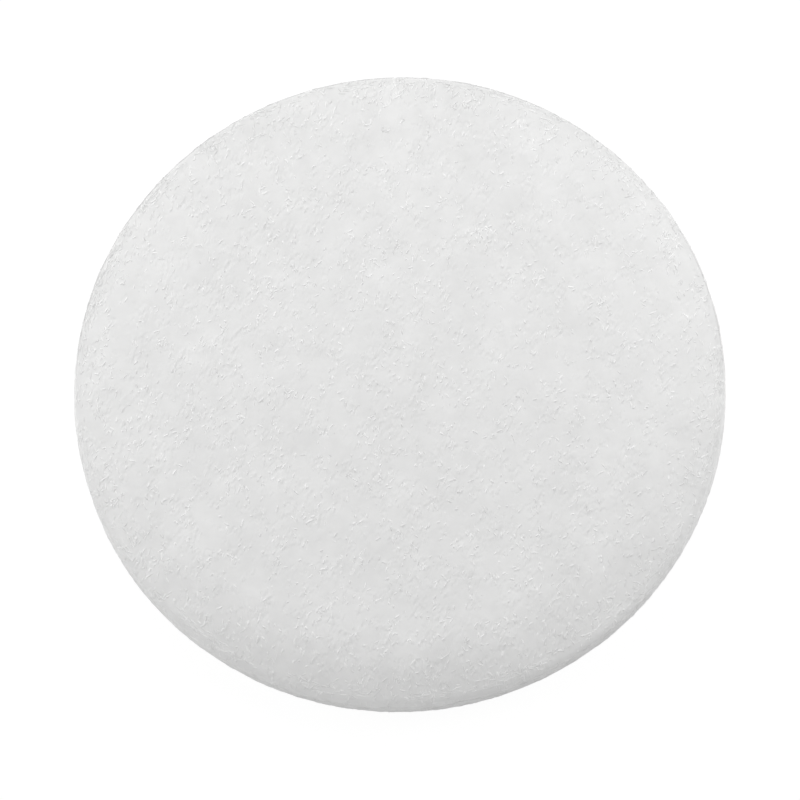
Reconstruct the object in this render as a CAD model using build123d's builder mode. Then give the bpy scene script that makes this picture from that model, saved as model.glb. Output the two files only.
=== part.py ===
from build123d import *
import os

# A thick filter paper disc: one round blank punched from a pressed sheet of white cellulose fibre.
# It lies on its underside, at Z = 0, with the middle of the disc on the Z axis. Sizes in millimetres.

# The sheet and the blank punched from it
disc_diameter = 60.0  # across the cut wall
sheet_thickness = 3.8  # from the underside to the level upper face

# The edge, as the punch leaves it: it enters from above and leaves through the underside
roll_width = 5.0  # band beside the wall where the punch drags the upper face down
roll_drop = 0.55  # how far that band has sunk by the time it reaches the wall
lip_radius = 1.1  # soft rounding between the sunk band and the wall
foot_radius = 0.25  # slight break between the wall and the underside

disc_radius = disc_diameter / 2
level_radius = disc_radius - roll_width
wall_top = sheet_thickness - roll_drop

# Half of the disc's section, turned once round the axis
with BuildPart() as filter_disc:
    with BuildSketch(Plane.XZ) as half_section:
        with BuildLine():
            underside = Line((0, 0), (disc_radius, 0))
            cut_wall = Line(underside @ 1, (disc_radius, wall_top))
            upper_face = Line((0, sheet_thickness), (level_radius, sheet_thickness))
            rolled_band = TangentArc(upper_face @ 1, cut_wall @ 1, tangent=upper_face % 1)
            middle = Line(underside @ 0, upper_face @ 0)
        make_face()
        lip_corner = half_section.vertices().group_by(Axis.X)[-1].sort_by(Axis.Y)[-1]
        fillet(lip_corner, radius=lip_radius)
        foot_corner = half_section.vertices().group_by(Axis.X)[-1].sort_by(Axis.Y)[0]
        fillet(foot_corner, radius=foot_radius)
    revolve(axis=Axis.Z)
filter_disc.part.label = "filter_disc"

os.makedirs("parts", exist_ok=True)
export_step(filter_disc.part, "parts/filter_disc.step")
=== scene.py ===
import math

import bpy
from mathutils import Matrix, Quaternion, Vector


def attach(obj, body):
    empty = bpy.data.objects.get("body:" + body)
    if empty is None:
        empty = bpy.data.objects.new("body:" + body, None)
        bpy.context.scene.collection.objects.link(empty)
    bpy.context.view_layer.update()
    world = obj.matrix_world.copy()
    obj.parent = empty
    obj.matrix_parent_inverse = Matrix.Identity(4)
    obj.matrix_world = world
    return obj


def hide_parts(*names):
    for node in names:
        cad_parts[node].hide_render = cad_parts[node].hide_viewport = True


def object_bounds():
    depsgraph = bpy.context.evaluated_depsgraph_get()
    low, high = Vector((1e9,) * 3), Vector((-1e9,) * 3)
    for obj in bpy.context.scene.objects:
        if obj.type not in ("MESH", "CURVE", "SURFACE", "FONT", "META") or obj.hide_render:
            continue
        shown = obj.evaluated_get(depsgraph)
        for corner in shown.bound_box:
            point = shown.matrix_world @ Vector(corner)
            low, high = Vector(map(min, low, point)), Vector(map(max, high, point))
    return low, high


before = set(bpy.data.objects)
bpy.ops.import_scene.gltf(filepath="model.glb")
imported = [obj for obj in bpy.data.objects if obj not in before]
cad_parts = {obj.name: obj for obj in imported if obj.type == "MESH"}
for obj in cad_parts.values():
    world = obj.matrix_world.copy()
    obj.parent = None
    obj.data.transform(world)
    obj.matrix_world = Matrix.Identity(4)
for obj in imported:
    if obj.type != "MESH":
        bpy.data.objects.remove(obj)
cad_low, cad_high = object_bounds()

# The paper blank: a thick disc of white cellulose fibre, felted wet, pressed, dried and then punched from
# its sheet. The punch comes from above. It drags the upper face down beside the cut and rounds the lip,
# softly in some places and crisply in others, and it leaves the foot nearly square.
MM = 0.001
disc_radius = (cad_high.x - cad_low.x) / 2
sheet_thickness = cad_high.z - cad_low.z
foot_radius = 0.25 * MM
level_edge = {"roll_width": 3.0 * MM, "roll_drop": 0.08 * MM, "lip_radius": 0.30 * MM}
crisp_edge = {"roll_width": 8.5 * MM, "roll_drop": 1.05 * MM, "lip_radius": 0.35 * MM}
soft_edge = {"roll_width": 6.5 * MM, "roll_drop": 1.60 * MM, "lip_radius": 0.90 * MM}
# How much of the crisp roll and of the soft roll the edge has, by bearing in degrees from +X.
crisp_shares = [
    (-180, 0.3), (-150, 0.58), (-120, 0.9), (-75, 1.0), (-55, 0.95), (-38, 0.3), (-22, 0.2), (-7, 0.13),
    (8, 0.15), (30, 0.22), (45, 0.2), (58, 0.12), (75, 0.06), (100, 0.0), (125, 0.0), (142, 0.0),
    (156, 0.12), (180, 0.3),
]
soft_shares = [
    (-180, 0.0), (-172, 0.1), (-158, 0.35), (-142, 0.7), (-128, 0.85), (-118, 0.95), (-87, 0.95),
    (-79, 0.75), (-72, 0.35), (-66, 0.1), (-60, 0.0), (-50, 0.1), (-38, 0.35), (-25, 0.3), (-10, 0.1),
    (5, 0.0), (180, 0.0),
]
band_steps = 16
lip_steps = 8
foot_steps = 6


def arc_points(centre, radius, start, end, steps):
    """Points of an arc in the section, by the angle of its outward normal from straight up."""
    found = []
    for k in range(steps + 1):
        turn = start + (end - start) * k / steps
        found.append((centre[0] + radius * math.sin(turn), 0.0, centre[1] + radius * math.cos(turn)))
    return found


def section_runs(roll_width, roll_drop, lip_radius):
    """The half section in three runs: middle of the upper face to the lip, down the wall, back under."""
    band_radius = (roll_width**2 + roll_drop**2) / (2 * roll_drop)
    band_turn = math.asin((roll_width - lip_radius) / (band_radius - lip_radius))
    band_centre = (disc_radius - roll_width, sheet_thickness - band_radius)
    lip_height = band_centre[1] + (band_radius - lip_radius) * math.cos(band_turn)
    lip_centre = (disc_radius - lip_radius, lip_height)
    foot_centre = (disc_radius - foot_radius, foot_radius)
    half_turn = (band_turn + math.pi / 2) / 2
    upper = [(0.0, 0.0, sheet_thickness)]
    upper += arc_points(band_centre, band_radius, 0.0, band_turn, band_steps)
    upper += arc_points(lip_centre, lip_radius, band_turn, half_turn, lip_steps)[1:]
    wall = arc_points(lip_centre, lip_radius, half_turn, math.pi / 2, lip_steps)
    wall += arc_points(foot_centre, foot_radius, math.pi / 2, math.pi, foot_steps)
    return [upper, wall, [wall[-1], (0.0, 0.0, 0.0)]]


level_runs = section_runs(**level_edge)
crisp_runs = section_runs(**crisp_edge)
soft_runs = section_runs(**soft_edge)
section_curves = bpy.data.curves.new("sections", "CURVE")
section_curves.dimensions = "3D"
for run in level_runs + crisp_runs + soft_runs:
    spline = section_curves.splines.new("POLY")
    spline.points.add(len(run) - 1)
    for point, place in zip(spline.points, run):
        point.co = (*place, 1.0)
sections = bpy.data.objects.new("sections", section_curves)
bpy.context.scene.collection.objects.link(sections)


def add(tree, kind, inputs=None, **settings):
    """Adds a node. inputs gives a socket to link or a value to set, by the input's name or number."""
    made = tree.nodes.new(kind)
    for name, value in settings.items():
        setattr(made, name, value)
    for name, value in (inputs or {}).items():
        if isinstance(value, bpy.types.NodeSocket):
            tree.links.new(value, made.inputs[name])
        else:
            made.inputs[name].default_value = value
    return made


def number(tree, operation, *values):
    return add(tree, "ShaderNodeMath", dict(enumerate(values)), operation=operation).outputs[0]


def direction(tree, operation, *values):
    made = add(tree, "ShaderNodeVectorMath", dict(enumerate(values)), operation=operation)
    return made.outputs["Value" if operation in ("LENGTH", "DOT_PRODUCT") else "Vector"]


def scaled(tree, vector, share):
    return add(tree, "ShaderNodeVectorMath", {0: vector, "Scale": share}, operation="SCALE").outputs[0]


def parts_of(tree, vector):
    return add(tree, "ShaderNodeSeparateXYZ", {0: vector}).outputs


def part_way(tree, share, first, second):
    """A vector between two others. The Mix node has its vectors at inputs 4 and 5."""
    inputs = {"Factor": share, 4: first, 5: second}
    return add(tree, "ShaderNodeMix", inputs, data_type="VECTOR").outputs[1]


def fade(tree, value, start, end, low=0.0, high=1.0):
    """A smooth step from low to high as a value goes from start to end."""
    inputs = {"Value": value, "From Min": start, "From Max": end, "To Min": low, "To Max": high}
    return add(tree, "ShaderNodeMapRange", inputs, interpolation_type="SMOOTHSTEP").outputs[0]


def mottle(tree, place, scale, seed, detail=2.0):
    """Cloudy noise from 0 to 1 at a scale in clouds per metre."""
    inputs = {"Vector": place, "W": seed, "Scale": scale, "Detail": detail}
    return add(tree, "ShaderNodeTexNoise", inputs, noise_dimensions="4D").outputs["Fac"]


def new_tree(name, inputs):
    """A Geometry Nodes tree with a mesh coming in and going out, and named inputs for its sizes."""
    tree = bpy.data.node_groups.new(name, "GeometryNodeTree")
    tree.interface.new_socket("Mesh", in_out="INPUT", socket_type="NodeSocketGeometry")
    for label, kind in inputs:
        tree.interface.new_socket(label, in_out="INPUT", socket_type="NodeSocket" + kind)
    tree.interface.new_socket("Mesh", in_out="OUTPUT", socket_type="NodeSocketGeometry")
    return tree, tree.nodes.new("NodeGroupInput").outputs


def end_tree(tree, mesh, material):
    """Ends a tree: what it made becomes plain mesh in its material."""
    plain = add(tree, "GeometryNodeRealizeInstances", {"Geometry": mesh})
    dressed = add(tree, "GeometryNodeSetMaterial", {"Geometry": plain.outputs[0], "Material": material})
    add(tree, "NodeGroupOutput", {0: dressed.outputs[0]})


def grown(name, start, tree, values):
    """The mesh that a tree makes from a starting mesh, as an object of its own."""
    carrier = bpy.data.objects.new(name, start)
    bpy.context.scene.collection.objects.link(carrier)
    modifier = carrier.modifiers.new(tree.name, "NODES")
    modifier.node_group = tree
    sockets = {s.name: s.identifier for s in tree.interface.items_tree if s.in_out == "INPUT"}
    for label, value in values.items():
        modifier[sockets[label]] = value
    graph = bpy.context.evaluated_depsgraph_get()
    mesh = bpy.data.meshes.new_from_object(carrier.evaluated_get(graph), depsgraph=graph)
    bpy.data.objects.remove(carrier)
    mesh.name = name
    piece = bpy.data.objects.new(name, mesh)
    bpy.context.scene.collection.objects.link(piece)
    return piece


# The paper's finish: matte white, a little cloudy where the pulp settled unevenly, with felt grain in
# patches and smoother paper between. The grain lies a little more one way than the other. The cut wall
# shows the sheet's layers. The rim is a shade greyer, and a dark outline is painted along the far lip.
white_level = 0.708
blue_share = 0.996
cloud_width = 3.2 * MM
cloud_tone = 0.11
floc_width = 1.1 * MM
floc_tone = 0.09
layer_length = 2.5 * MM
layer_height = 0.3 * MM
layer_tone = 0.12
layer_relief_share = 0.8
rim_tone = -0.02
far_lip_outline_tone = -0.19
patch_size = 1.2 * MM
patch_seed = 11.0
patch_start = 0.38
patch_end = 0.63
felt_width = 0.38 * MM
felt_stretch = 1.7
felt_lean = math.radians(68)
felt_depth = 0.150 * MM
least_roughness = 0.86
floc_roughness = 0.12
paper = bpy.data.materials.new("filter_paper")
paper.use_nodes = True
pulp = paper.node_tree
pulp.nodes.clear()
spot = pulp.nodes.new("ShaderNodeTexCoord").outputs["Object"]
spot_parts = parts_of(pulp, spot)
from_axis = direction(pulp, "LENGTH", direction(pulp, "MULTIPLY", spot, (1, 1, 0)))


def near_rim(starts, full):
    """Goes from 0 to 1 towards the rim, between two distances in from it."""
    return fade(pulp, from_axis, disc_radius - starts, disc_radius - full)


clouds = mottle(pulp, spot, 1 / cloud_width, seed=1.0, detail=3.0)
flocs = mottle(pulp, spot, 1 / floc_width, seed=2.0)
patches = fade(pulp, mottle(pulp, spot, 1 / patch_size, patch_seed), patch_start, patch_end)
felt_place = add(
    pulp,
    "ShaderNodeMapping",
    {"Vector": spot, "Rotation": (0, 0, felt_lean), "Scale": (felt_stretch, 1, 1)},
    vector_type="TEXTURE",
)
felt = mottle(pulp, felt_place.outputs[0], 1 / felt_width, seed=3.0, detail=1.0)
felt_share = number(pulp, "MULTIPLY", number(pulp, "SUBTRACT", felt, 0.5), patches)
layered = direction(pulp, "MULTIPLY", spot, (1 / layer_length, 1 / layer_length, 1 / layer_height))
layers = mottle(pulp, layered, 1.0, seed=4.0, detail=3.0)
at_cut = near_rim(starts=0.22 * MM, full=0.04 * MM)
layer_share = number(pulp, "MULTIPLY", number(pulp, "SUBTRACT", layers, 0.5), at_cut)
by_rim = near_rim(starts=0.85 * MM, full=0.45 * MM)
# A dark outline is painted along the far half of the lip, broken up by the flocs; the paper there is no
# greyer in itself.
far_side = fade(pulp, spot_parts["Y"], start=-12.0 * MM, end=8.0 * MM)
on_lip = fade(pulp, spot_parts["Z"], start=sheet_thickness - 0.38 * MM, end=sheet_thickness - 0.28 * MM)
broken = fade(pulp, flocs, start=0.30, end=0.52)
far_lip_outline = number(pulp, "MULTIPLY", near_rim(starts=0.24 * MM, full=0.10 * MM), far_side)
far_lip_outline = number(pulp, "MULTIPLY", far_lip_outline, number(pulp, "MULTIPLY", on_lip, broken))
tone = number(pulp, "MULTIPLY_ADD", clouds, cloud_tone, white_level)
tone = number(pulp, "MULTIPLY_ADD", flocs, floc_tone, tone)
tone = number(pulp, "MULTIPLY_ADD", layer_share, layer_tone, tone)
tone = number(pulp, "MULTIPLY_ADD", by_rim, rim_tone, tone)
# The painted dark outline along the far lip.
tone = number(pulp, "MULTIPLY_ADD", far_lip_outline, far_lip_outline_tone, tone)
# Each bundle of fibre has a tone of its own, and the blank has none.
tone = number(pulp, "ADD", tone, add(pulp, "ShaderNodeAttribute", attribute_name="fibre_tone").outputs["Fac"])
blue_tone = number(pulp, "MULTIPLY", tone, blue_share)
white_pulp = add(pulp, "ShaderNodeCombineColor", {"Red": tone, "Green": tone, "Blue": blue_tone})
grain = number(pulp, "MULTIPLY_ADD", layer_share, layer_relief_share, felt_share)
grain_bump = add(pulp, "ShaderNodeBump", {"Height": grain, "Strength": 1.0, "Distance": felt_depth})
sheet = add(
    pulp,
    "ShaderNodeBsdfPrincipled",
    {
        "Base Color": white_pulp.outputs[0],
        "Roughness": number(pulp, "MULTIPLY_ADD", flocs, floc_roughness, least_roughness),
        "Specular IOR Level": 0.2,
        "Normal": grain_bump.outputs[0],
    },
)
add(pulp, "ShaderNodeOutputMaterial", {"Surface": sheet.outputs[0]})

# The blank's shape: the faces of a cube laid over the disc, along the sections drawn above.
blank_tree, given = new_tree(
    "punched_blank",
    [
        ("Sections", "Object"),
        ("Cells Across", "Int"),
        ("Cells Up", "Int"),
        ("Cloud Size", "Float"),
        ("Cloud Height", "Float"),
        ("Floc Size", "Float"),
        ("Floc Height", "Float"),
        ("Layer Size", "Float"),
        ("Layer Height", "Float"),
        ("Seed", "Float"),
        ("Paper", "Material"),
    ],
)
corners_across = number(blank_tree, "ADD", given["Cells Across"], 1)
corners_up = number(blank_tree, "ADD", given["Cells Up"], 1)
cube = add(
    blank_tree,
    "GeometryNodeMeshCube",
    {"Size": (2, 2, 1), "Vertices X": corners_across, "Vertices Y": corners_across, "Vertices Z": corners_up},
)
where = blank_tree.nodes.new("GeometryNodeInputPosition").outputs[0]
# A square of cells becomes a disc of them: each square ring turns into a round one.
flat = direction(blank_tree, "MULTIPLY", where, (1, 1, 0))
flat_sides = parts_of(blank_tree, direction(blank_tree, "ABSOLUTE", flat))
out_share = number(blank_tree, "MAXIMUM", flat_sides["X"], flat_sides["Y"])
ring_place = scaled(blank_tree, flat, number(blank_tree, "DIVIDE", math.pi / 4, out_share))
outward = direction(blank_tree, "NORMALIZE", direction(blank_tree, "TANGENT", ring_place))
face_margin = 0.001
down_share = number(blank_tree, "SUBTRACT", 0.5, parts_of(blank_tree, where)["Z"])
is_top = number(blank_tree, "LESS_THAN", down_share, face_margin)
is_under = number(blank_tree, "GREATER_THAN", down_share, 1 - face_margin)
is_wall = number(blank_tree, "SUBTRACT", number(blank_tree, "SUBTRACT", 1, is_top), is_under)
# Rings close up towards the lip, on both sides of it.
closing_share = 0.04
closing_power = 16
wall_closing_power = 1.2
last_rings = number(blank_tree, "SUBTRACT", out_share, number(blank_tree, "POWER", out_share, closing_power))
top_share = number(blank_tree, "MULTIPLY_ADD", last_rings, closing_share, out_share)
wall_share = number(blank_tree, "POWER", down_share, wall_closing_power)
under_share = number(blank_tree, "SUBTRACT", 1, out_share)
run_share = number(blank_tree, "MULTIPLY", is_top, top_share)
run_share = number(blank_tree, "MULTIPLY_ADD", is_wall, wall_share, run_share)
run_share = number(blank_tree, "MULTIPLY_ADD", is_under, under_share, run_share)
run_number = number(blank_tree, "ADD", is_wall, number(blank_tree, "MULTIPLY", is_under, 2))
drawn = add(blank_tree, "GeometryNodeObjectInfo", {"Object": given["Sections"]})


def on_section(first_run):
    """Where a corner lies on a section, turned to its bearing."""
    picked = add(
        blank_tree,
        "GeometryNodeSampleCurve",
        {
            "Curves": drawn.outputs["Geometry"],
            "Factor": run_share,
            "Curve Index": number(blank_tree, "ADD", run_number, first_run),
        },
        mode="FACTOR",
    )
    reach = parts_of(blank_tree, picked.outputs["Position"])
    lifted = add(blank_tree, "ShaderNodeCombineXYZ", {"Z": reach["Z"]}).outputs[0]
    return direction(blank_tree, "ADD", scaled(blank_tree, outward, reach["X"]), lifted)


outward_parts = parts_of(blank_tree, outward)
bearing = number(blank_tree, "ARCTAN2", outward_parts["Y"], outward_parts["X"])
bearing_share = number(blank_tree, "MULTIPLY_ADD", bearing, 1 / (2 * math.pi), 0.5)


def share_by_bearing(shares):
    """A share that changes smoothly round the rim."""
    made = add(blank_tree, "ShaderNodeFloatCurve", {"Value": bearing_share})
    line = made.mapping.curves[0]
    for degrees, share in shares[1:-1]:
        line.points.new((degrees + 180) / 360, share)
    line.points[0].location = (0, shares[0][1])
    line.points[len(line.points) - 1].location = (1, shares[-1][1])
    made.mapping.update()
    return made.outputs[0]


level_place = on_section(0)
crisp_place = on_section(len(level_runs))
soft_place = on_section(len(level_runs) + len(crisp_runs))
round_place = part_way(blank_tree, share_by_bearing(crisp_shares), level_place, crisp_place)
round_place = part_way(blank_tree, share_by_bearing(soft_shares), round_place, soft_place)
rounded = add(
    blank_tree,
    "GeometryNodeSetPosition",
    {"Geometry": cube.outputs["Mesh"], "Position": round_place},
)
# The felt: broad clouds, small flocs, and on the cut wall the edges of the layers.
facing = blank_tree.nodes.new("GeometryNodeInputNormal").outputs[0]
up_share = parts_of(blank_tree, facing)["Z"]
layer_squeeze = 0.10


def relief(grain_name, place, seed_step):
    """How far one kind of grain swells the surface, from its size and height among the inputs."""
    scale = number(blank_tree, "DIVIDE", 1, given[grain_name + " Size"])
    noise = mottle(blank_tree, place, scale, number(blank_tree, "ADD", given["Seed"], seed_step))
    swing = number(blank_tree, "SUBTRACT", noise, 0.5)
    return number(blank_tree, "MULTIPLY", swing, given[grain_name + " Height"])


cloud_swell = relief("Cloud", where, seed_step=0.0)
floc_swell = relief("Floc", where, seed_step=10.0)
layer_place = direction(blank_tree, "MULTIPLY", where, (layer_squeeze, layer_squeeze, 1))
layer_swell = relief("Layer", layer_place, seed_step=20.0)
swell = number(blank_tree, "ADD", cloud_swell, floc_swell)
on_wall = fade(blank_tree, number(blank_tree, "ABSOLUTE", up_share), start=0.6, end=0.1)
pressed = fade(blank_tree, up_share, start=-0.9, end=-0.3, low=0.3, high=1.0)
swell = number(blank_tree, "MULTIPLY", swell, pressed)
swell = number(blank_tree, "MULTIPLY_ADD", layer_swell, on_wall, swell)
felted = add(
    blank_tree,
    "GeometryNodeSetPosition",
    {"Geometry": rounded.outputs[0], "Offset": scaled(blank_tree, facing, swell)},
)
smooth = add(blank_tree, "GeometryNodeSetShadeSmooth", {"Geometry": felted.outputs[0]})
end_tree(blank_tree, smooth.outputs[0], given["Paper"])

blank = grown(
    "paper_blank",
    bpy.data.meshes.new("start"),
    blank_tree,
    {
        "Sections": sections,
        "Cells Across": 200,
        "Cells Up": 24,
        "Cloud Size": 4.0 * MM,
        "Cloud Height": 0.07 * MM,
        "Floc Size": 1.3 * MM,
        "Floc Height": 0.018 * MM,
        "Layer Size": 0.55 * MM,
        "Layer Height": 0.10 * MM,
        "Seed": 1.0,
        "Paper": paper,
    },
)
bpy.data.objects.remove(sections)
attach(blank, "root")
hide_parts("filter_disc")

# The fibres of the upper face: bundles of cellulose, and the nibs of broken ones, that lie felted into the
# pressed face. They are bedded so that only their backs stand proud, and they gather in the felt's patches,
# with a lean along the way that the felt lies.
fibre_tree, given = new_tree(
    "felted_fibres",
    [
        ("Density", "Float"),
        ("Patch Size", "Float"),
        ("Patch Seed", "Float"),
        ("Patch Start", "Float"),
        ("Patch End", "Float"),
        ("Lean", "Vector"),
        ("Lowest Slope", "Float"),
        ("Highest Slope", "Float"),
        ("Inner Reach", "Float"),
        ("Length Min", "Float"),
        ("Length Max", "Float"),
        ("Width Min", "Float"),
        ("Width Max", "Float"),
        ("Flatness", "Float"),
        ("Along Edge", "Float"),
        ("Bend", "Float"),
        ("Darkest", "Float"),
        ("Lightest", "Float"),
        ("Points", "Int"),
        ("Seed", "Int"),
        ("Paper", "Material"),
    ],
)
where = fibre_tree.nodes.new("GeometryNodeInputPosition").outputs[0]
facing = fibre_tree.nodes.new("GeometryNodeInputNormal").outputs[0]
curl_size = 0.9 * MM
rock_angle = 0.07
taper_power = 3
narrowest_end = 0.25


def draw(seed_step, low, high, kind="FLOAT", strand=None):
    """A random draw for each fibre, from the tree's seed. The node's inputs for vectors come first."""
    first = {"FLOAT": 2, "FLOAT_VECTOR": 0}[kind]
    inputs = {first: low, first + 1: high, "Seed": number(fibre_tree, "ADD", given["Seed"], seed_step)}
    if strand is not None:
        inputs["ID"] = strand
    made = add(fibre_tree, "FunctionNodeRandomValue", inputs, data_type=kind)
    return made.outputs[{"FLOAT": 1, "FLOAT_VECTOR": 0}[kind]]


# Where the fibres lie: on faces of the right slope, far enough out, and in patches.
slope = parts_of(fibre_tree, facing)["Z"]
from_middle = direction(fibre_tree, "MULTIPLY", where, (1, 1, 0))
reach = direction(fibre_tree, "LENGTH", from_middle)
steep_enough = number(fibre_tree, "LESS_THAN", slope, given["Highest Slope"])
level_enough = number(fibre_tree, "GREATER_THAN", slope, given["Lowest Slope"])
far_enough = number(fibre_tree, "GREATER_THAN", reach, given["Inner Reach"])
on_face = number(fibre_tree, "MULTIPLY", level_enough, steep_enough)
on_face = number(fibre_tree, "MULTIPLY", on_face, far_enough)
patch_scale = number(fibre_tree, "DIVIDE", 1, given["Patch Size"])
patch_noise = mottle(fibre_tree, where, patch_scale, given["Patch Seed"])
patches = fade(fibre_tree, patch_noise, given["Patch Start"], given["Patch End"])
scattered = add(
    fibre_tree,
    "GeometryNodeDistributePointsOnFaces",
    {
        "Mesh": given["Mesh"],
        "Selection": on_face,
        "Density": number(fibre_tree, "MULTIPLY", given["Density"], patches),
        "Seed": given["Seed"],
    },
)
# How they lie: in the face, any way with a lean, or along the edge.
any_way = draw(1, (-1, -1, -1), (1, 1, 1), kind="FLOAT_VECTOR")
any_way = direction(fibre_tree, "ADD", any_way, given["Lean"])
in_face = direction(fibre_tree, "CROSS_PRODUCT", scattered.outputs["Normal"], any_way)
in_face = direction(fibre_tree, "NORMALIZE", in_face)
along_edge = direction(fibre_tree, "CROSS_PRODUCT", (0, 0, 1), from_middle)
along_edge = direction(fibre_tree, "NORMALIZE", along_edge)
lie = part_way(fibre_tree, given["Along Edge"], in_face, along_edge)
turned = add(fibre_tree, "FunctionNodeAlignRotationToVector", {"Vector": lie}, axis="X")
straight = add(fibre_tree, "GeometryNodeCurvePrimitiveLine", {"Start": (-0.5, 0, 0), "End": (0.5, 0, 0)})
stepped = add(
    fibre_tree,
    "GeometryNodeResampleCurve",
    {"Curve": straight.outputs[0], "Count": given["Points"]},
)
laid = add(
    fibre_tree,
    "GeometryNodeInstanceOnPoints",
    {
        "Points": scattered.outputs["Points"],
        "Instance": stepped.outputs[0],
        "Rotation": turned.outputs[0],
        "Scale": draw(2, given["Length Min"], given["Length Max"]),
    },
)
strands = add(fibre_tree, "GeometryNodeRealizeInstances", {"Geometry": laid.outputs[0]})
curl = add(fibre_tree, "ShaderNodeTexNoise", {"Vector": where, "Scale": 1 / curl_size, "Detail": 1.0})
curl_push = direction(fibre_tree, "SUBTRACT", curl.outputs["Color"], (0.5, 0.5, 0.5))
curled = add(
    fibre_tree,
    "GeometryNodeSetPosition",
    {"Geometry": strands.outputs[0], "Offset": scaled(fibre_tree, curl_push, given["Bend"])},
)


def on_paper(value):
    """A vector of the paper's surface, at the point nearest to a point of a fibre."""
    made = add(
        fibre_tree,
        "GeometryNodeSampleNearestSurface",
        {"Mesh": given["Mesh"], "Value": value, "Sample Position": where},
        data_type="FLOAT_VECTOR",
    )
    return made.outputs["Value"]


bedded = add(
    fibre_tree,
    "GeometryNodeSetPosition",
    {"Geometry": curled.outputs[0], "Position": on_paper(where)},
)
stood = add(
    fibre_tree,
    "GeometryNodeSetCurveNormal",
    {"Curve": bedded.outputs[0], "Normal": on_paper(facing)},
    mode="FREE",
)
rocked = add(
    fibre_tree,
    "GeometryNodeSetCurveTilt",
    {"Curve": stood.outputs[0], "Tilt": draw(3, -rock_angle, rock_angle)},
)
# Each strand has a width and a tone of its own, and narrows towards its ends.
counted = fibre_tree.nodes.new("GeometryNodeInputIndex").outputs[0]


def of_each(domain, value):
    """A value taken once for each whole strand or face."""
    made = add(fibre_tree, "GeometryNodeFieldOnDomain", {0: value}, domain=domain, data_type="FLOAT")
    return made.outputs[0]


strand_number = of_each("CURVE", counted)
width = draw(4, given["Width Min"], given["Width Max"], strand=strand_number)
along = fibre_tree.nodes.new("GeometryNodeSplineParameter").outputs["Factor"]
from_half = number(fibre_tree, "ABSOLUTE", number(fibre_tree, "MULTIPLY_ADD", along, 2, -1))
taper = number(fibre_tree, "SUBTRACT", 1, number(fibre_tree, "POWER", from_half, taper_power))
taper = number(fibre_tree, "MAXIMUM", taper, narrowest_end)
toned = add(
    fibre_tree,
    "GeometryNodeStoreNamedAttribute",
    {
        "Geometry": rocked.outputs[0],
        "Name": "fibre_tone",
        "Value": draw(5, given["Darkest"], given["Lightest"], strand=strand_number),
    },
    domain="POINT",
    data_type="FLOAT",
)


def kept(geometry, value):
    """A value kept with the points of a curve, so that the mesh made from it still has it."""
    made = add(fibre_tree, "GeometryNodeCaptureAttribute", {"Geometry": geometry})
    made.capture_items.new("FLOAT", "Value")
    fibre_tree.links.new(value, made.inputs[1])
    return made.outputs[0], made.outputs[1]


# A three-sided section, flattened, with its ridge up and its other two corners in the paper.
three_sided = add(fibre_tree, "GeometryNodeCurvePrimitiveCircle", {"Resolution": 3, "Radius": 1.0})
strand_curve, kept_number = kept(toned.outputs[0], strand_number)
strand_curve, kept_along = kept(strand_curve, along)
profile_parts = parts_of(fibre_tree, where)
profile_curve, kept_across = kept(three_sided.outputs[0], profile_parts["Y"])
profile_curve, kept_height = kept(profile_curve, profile_parts["X"])
flattening = add(fibre_tree, "ShaderNodeCombineXYZ", {0: given["Flatness"], 1: 1, 2: 1})
flattened = add(
    fibre_tree,
    "GeometryNodeTransform",
    {"Geometry": profile_curve, "Scale": flattening.outputs[0]},
)
bundles = add(
    fibre_tree,
    "GeometryNodeCurveToMesh",
    {
        "Curve": strand_curve,
        "Profile Curve": flattened.outputs[0],
        "Scale": number(fibre_tree, "MULTIPLY", width, taper),
        "Fill Caps": True,
    },
)
# Each strand has a square of its own in the layout for baking: its back in one part, its bed in another.
along_start = 0.08
along_span = 0.80
ridge_shift = 0.04
back_middle = 0.34
back_spread = 0.30
bed_middle = 0.82
bed_spread = 0.12
bed_facing = -0.5
strand_total = add(
    fibre_tree,
    "GeometryNodeAttributeDomainSize",
    {"Geometry": toned.outputs[0]},
    component="CURVE",
)
squares = number(fibre_tree, "CEIL", number(fibre_tree, "SQRT", strand_total.outputs["Spline Count"]))
with_paper = direction(fibre_tree, "DOT_PRODUCT", facing, on_paper(facing))
is_bed = of_each("FACE", number(fibre_tree, "LESS_THAN", with_paper, bed_facing))
square_x = number(fibre_tree, "MULTIPLY_ADD", kept_along, along_span, along_start)
square_x = number(fibre_tree, "MULTIPLY_ADD", kept_height, ridge_shift, square_x)
back_y = number(fibre_tree, "MULTIPLY_ADD", kept_across, back_spread, back_middle)
bed_y = number(fibre_tree, "MULTIPLY_ADD", kept_across, bed_spread, bed_middle)
to_bed = number(fibre_tree, "MULTIPLY", is_bed, number(fibre_tree, "SUBTRACT", bed_y, back_y))
square_y = number(fibre_tree, "ADD", back_y, to_bed)
whole_number = number(fibre_tree, "ROUND", kept_number)
column = number(fibre_tree, "FLOORED_MODULO", whole_number, squares)
row = number(fibre_tree, "DIVIDE", number(fibre_tree, "ADD", whole_number, 0.5), squares)
row = number(fibre_tree, "FLOOR", row)
layout_place = add(
    fibre_tree,
    "ShaderNodeCombineXYZ",
    {
        "X": number(fibre_tree, "DIVIDE", number(fibre_tree, "ADD", column, square_x), squares),
        "Y": number(fibre_tree, "DIVIDE", number(fibre_tree, "ADD", row, square_y), squares),
    },
)
laid_out = add(
    fibre_tree,
    "GeometryNodeStoreNamedAttribute",
    {"Geometry": bundles.outputs[0], "Name": "OFBake", "Value": layout_place.outputs[0]},
    domain="CORNER",
    data_type="FLOAT2",
)
faceted = add(
    fibre_tree,
    "GeometryNodeSetShadeSmooth",
    {"Geometry": laid_out.outputs[0], "Shade Smooth": False},
)
end_tree(fibre_tree, faceted.outputs[0], given["Paper"])


def lay_fibres(name, sizes):
    """Lays fibres on the blank. They are of the same paper and move with it."""
    fibres = grown(name, blank.data, fibre_tree, {**sizes, "Paper": paper})
    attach(fibres, "root")


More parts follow.
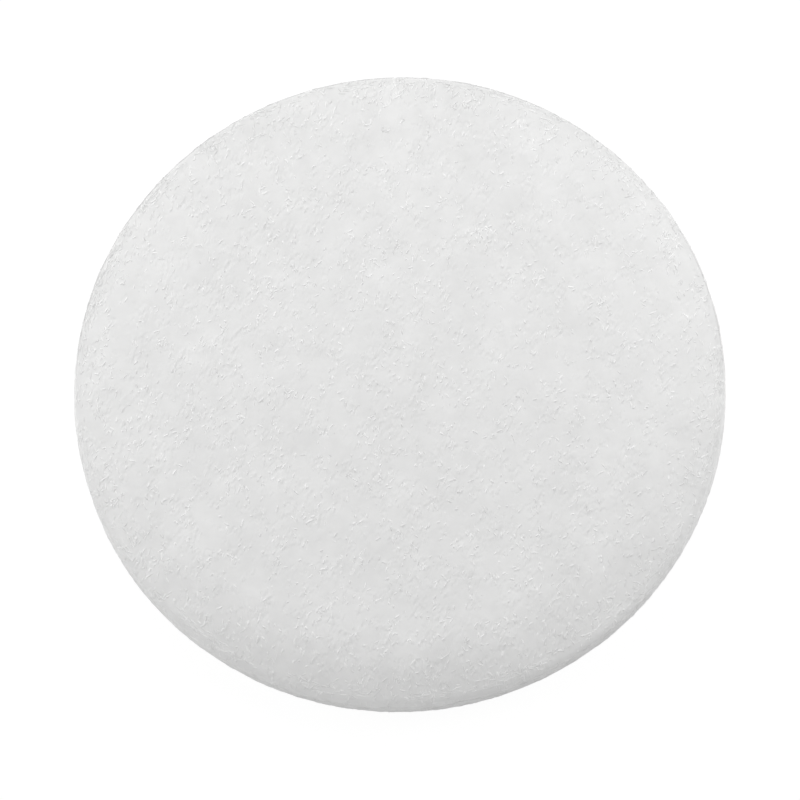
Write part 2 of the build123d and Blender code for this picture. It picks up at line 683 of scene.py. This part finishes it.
lean_share = 1.15
leaning = (lean_share * math.sin(felt_lean), -lean_share * math.cos(felt_lean), 0.0)
any_direction = (0.0, 0.0, 0.0)
from_the_middle = -1.0
felt_patches = {
    "Patch Size": patch_size,
    "Patch Start": patch_start,
    "Patch End": patch_end,
    "Lean": leaning,
    "Inner Reach": from_the_middle,
    "Along Edge": 0.0,
}
upper_face = {**felt_patches, "Patch Seed": patch_seed, "Lowest Slope": 0.2, "Highest Slope": 1.1}
lay_fibres(
    "upper_face_fibres",
    {
        **upper_face,
        "Density": 2.2 / MM**2,
        "Length Min": 0.28 * MM,
        "Length Max": 0.65 * MM,
        "Width Min": 0.14 * MM,
        "Width Max": 0.24 * MM,
        "Flatness": 0.24,
        "Bend": 0.55 * MM,
        "Darkest": -0.02,
        "Lightest": 0.06,
        "Points": 4,
        "Seed": 11,
    },
)
lay_fibres(
    "upper_face_nibs",
    {
        **upper_face,
        "Density": 1.7 / MM**2,
        "Length Min": 0.12 * MM,
        "Length Max": 0.32 * MM,
        "Width Min": 0.08 * MM,
        "Width Max": 0.13 * MM,
        "Flatness": 0.22,
        "Bend": 0.3 * MM,
        "Darkest": -0.05,
        "Lightest": 0.07,
        "Points": 3,
        "Seed": 31,
    },
)

# The fibres of the rim and of the rolled lip: the same bundles where the punch dragged the face down.
# Beside the cut they are combed along the rim in large patches. Over the roll they keep the felt's lean,
# and lie closer than on the face.
lay_fibres(
    "rim_fibres",
    {
        "Density": 7.0 / MM**2,
        "Patch Size": 5.0 * MM,
        "Patch Seed": 41.0,
        "Patch Start": 0.42,
        "Patch End": 0.58,
        "Lean": any_direction,
        "Lowest Slope": 0.85,
        "Highest Slope": 1.1,
        "Inner Reach": disc_radius - 1.1 * MM,
        "Length Min": 0.35 * MM,
        "Length Max": 0.95 * MM,
        "Width Min": 0.07 * MM,
        "Width Max": 0.14 * MM,
        "Flatness": 0.28,
        "Along Edge": 0.85,
        "Bend": 0.2 * MM,
        "Darkest": -0.06,
        "Lightest": 0.07,
        "Points": 5,
        "Seed": 51,
    },
)
lay_fibres(
    "rolled_lip_fibres",
    {
        "Density": 4.0 / MM**2,
        "Patch Size": 1.6 * MM,
        "Patch Seed": 101.0,
        "Patch Start": 0.36,
        "Patch End": 0.60,
        "Lean": leaning,
        "Lowest Slope": 0.15,
        "Highest Slope": 1.1,
        "Inner Reach": disc_radius - 2.6 * MM,
        "Length Min": 0.28 * MM,
        "Length Max": 0.70 * MM,
        "Width Min": 0.10 * MM,
        "Width Max": 0.19 * MM,
        "Flatness": 0.27,
        "Along Edge": 0.0,
        "Bend": 0.4 * MM,
        "Darkest": -0.05,
        "Lightest": 0.04,
        "Points": 5,
        "Seed": 111,
    },
)

# The fibres of the cut wall: fine strands of cellulose torn by the punch as it went through. They lie along
# the edges of the sheet's layers, and are thinner and rounder than those of the pressed face.
lay_fibres(
    "cut_wall_fibres",
    {
        "Density": 11.0 / MM**2,
        "Patch Size": 2.0 * MM,
        "Patch Seed": 61.0,
        "Patch Start": 0.34,
        "Patch End": 0.60,
        "Lean": any_direction,
        "Lowest Slope": -0.5,
        "Highest Slope": 0.2,
        "Inner Reach": from_the_middle,
        "Length Min": 0.30 * MM,
        "Length Max": 1.30 * MM,
        "Width Min": 0.045 * MM,
        "Width Max": 0.085 * MM,
        "Flatness": 0.6,
        "Along Edge": 0.8,
        "Bend": 0.35 * MM,
        "Darkest": -0.07,
        "Lightest": 0.06,
        "Points": 5,
        "Seed": 71,
    },
)

# The fibres of the underside: the same bundles on the face that was pressed against the drying felt. They
# are flatter than those of the upper face, and hardly stand proud of it.
lay_fibres(
    "underside_fibres",
    {
        **felt_patches,
        "Patch Seed": 81.0,
        "Lowest Slope": -1.1,
        "Highest Slope": -0.8,
        "Density": 2.4 / MM**2,
        "Length Min": 0.28 * MM,
        "Length Max": 0.90 * MM,
        "Width Min": 0.10 * MM,
        "Width Max": 0.18 * MM,
        "Flatness": 0.12,
        "Bend": 0.5 * MM,
        "Darkest": -0.05,
        "Lightest": 0.06,
        "Points": 4,
        "Seed": 91,
    },
)

# The floor: a plain white sweep under the disc. Rays that are seen find it clean white, with a little of
# the disc's shadow, and light on its way bounces off it as off white card.
floor_reach = 2.0
floor_gap = 0.02 * MM
card_white = (0.9, 0.9, 0.9, 1)
shadow_grey = (0.10, 0.10, 0.10, 1)
clean_glow = 0.93
floor_mesh = bpy.data.meshes.new("floor")
floor_mesh.from_pydata(
    [
        (-floor_reach, -floor_reach, 0),
        (floor_reach, -floor_reach, 0),
        (floor_reach, floor_reach, 0),
        (-floor_reach, floor_reach, 0),
    ],
    [],
    [(0, 1, 2, 3)],
)
floor = bpy.data.objects.new("floor", floor_mesh)
floor.location.z = cad_low.z - floor_gap
bpy.context.scene.collection.objects.link(floor)


def seen_rays(tree):
    """1 for rays that are seen, straight or in gloss and glass, and 0 for light on its way."""
    path = tree.nodes.new("ShaderNodeLightPath").outputs
    seen = number(tree, "MAXIMUM", path["Is Camera Ray"], path["Is Glossy Ray"])
    return number(tree, "MAXIMUM", seen, path["Is Transmission Ray"])


white = bpy.data.materials.new("white_floor")
white.use_nodes = True
sweep = white.node_tree
sweep.nodes.clear()
seen = seen_rays(sweep)
shade = add(sweep, "ShaderNodeMix", {"Factor": seen, "A": card_white, "B": shadow_grey}, data_type="RGBA")
matte = add(sweep, "ShaderNodeBsdfDiffuse", {"Color": shade.outputs["Result"]})
glow_strength = number(sweep, "MULTIPLY", seen, clean_glow)
glow = add(sweep, "ShaderNodeEmission", {"Color": (1, 1, 1, 1), "Strength": glow_strength})
both = add(sweep, "ShaderNodeAddShader", {0: matte.outputs[0], 1: glow.outputs[0]})
add(sweep, "ShaderNodeOutputMaterial", {"Surface": both.outputs[0]})
floor_mesh.materials.append(white)

# The studio: pale walls all round that light the disc evenly, and four soft boxes low over the floor. The
# one at the far side is the strongest and rakes across the felt, so that each mark has a light and a dark
# side. Rays that are seen find a white backdrop.
room_light = 0.50
world = bpy.data.worlds.new("studio")
bpy.context.scene.world = world
world.use_nodes = True
room = world.node_tree
room.nodes.clear()
walls = add(room, "ShaderNodeBackground", {"Color": (1, 1, 1, 1), "Strength": room_light})
backdrop = add(room, "ShaderNodeBackground", {"Color": (1, 1, 1, 1), "Strength": 1.0})
sky = add(room, "ShaderNodeMixShader", {0: seen_rays(room), 1: walls.outputs[0], 2: backdrop.outputs[0]})
add(room, "ShaderNodeOutputWorld", {"Surface": sky.outputs[0]})


def soft_lamp(name, place, size, power):
    """A square soft box aimed at the disc."""
    lamp = bpy.data.lights.new(name, "AREA")
    lamp.size = size
    lamp.energy = power
    holder = bpy.data.objects.new(name, lamp)
    holder.location = place
    holder.rotation_euler = Vector(place).to_track_quat("Z", "Y").to_euler()
    bpy.context.scene.collection.objects.link(holder)


soft_lamp("far_soft_box", place=(-0.06, 0.18, 0.085), size=0.10, power=0.171)
soft_lamp("left_soft_box", place=(-0.12, 0.03, 0.07), size=0.08, power=0.0465)
soft_lamp("right_soft_box", place=(0.12, 0.03, 0.07), size=0.08, power=0.076)
soft_lamp("front_soft_box", place=(-0.11, -0.28, 0.08), size=0.15, power=0.094)

# The camera: a long lens that looks steeply down on the disc, a little rolled, as the photograph was taken.
# The disc's radius and middle in the picture place it, so the outline falls where the photograph has it.
camera_distance = 30 * disc_radius
camera_elevation = math.radians(73.7)
camera_roll = math.radians(-8.5)
disc_radius_px = 324.6
disc_middle_px = (400.70, 397.75)
picture_px = 800
sensor_width = 36.0
camera_data = bpy.data.cameras.new("camera")
camera = bpy.data.objects.new("camera", camera_data)
bpy.context.scene.collection.objects.link(camera)
camera_data.sensor_width = sensor_width
camera_data.lens = sensor_width * disc_radius_px / picture_px * camera_distance / disc_radius
towards = Vector((0, -math.cos(camera_elevation), math.sin(camera_elevation)))
level = towards.to_track_quat("Z", "Y")
camera.rotation_mode = "QUATERNION"
camera.rotation_quaternion = level @ Quaternion((0, 0, 1), camera_roll)
metres_per_px = disc_radius / disc_radius_px
right = camera.rotation_quaternion @ Vector((1, 0, 0))
up = camera.rotation_quaternion @ Vector((0, 1, 0))
half = picture_px / 2
aim = right * (half - disc_middle_px[0]) * metres_per_px + up * (disc_middle_px[1] - half) * metres_per_px
camera.location = aim + towards * camera_distance
camera_data.clip_start = 0.01
camera_data.clip_end = 10.0
bpy.context.scene.camera = camera

bpy.context.scene.view_settings.view_transform = "Standard"
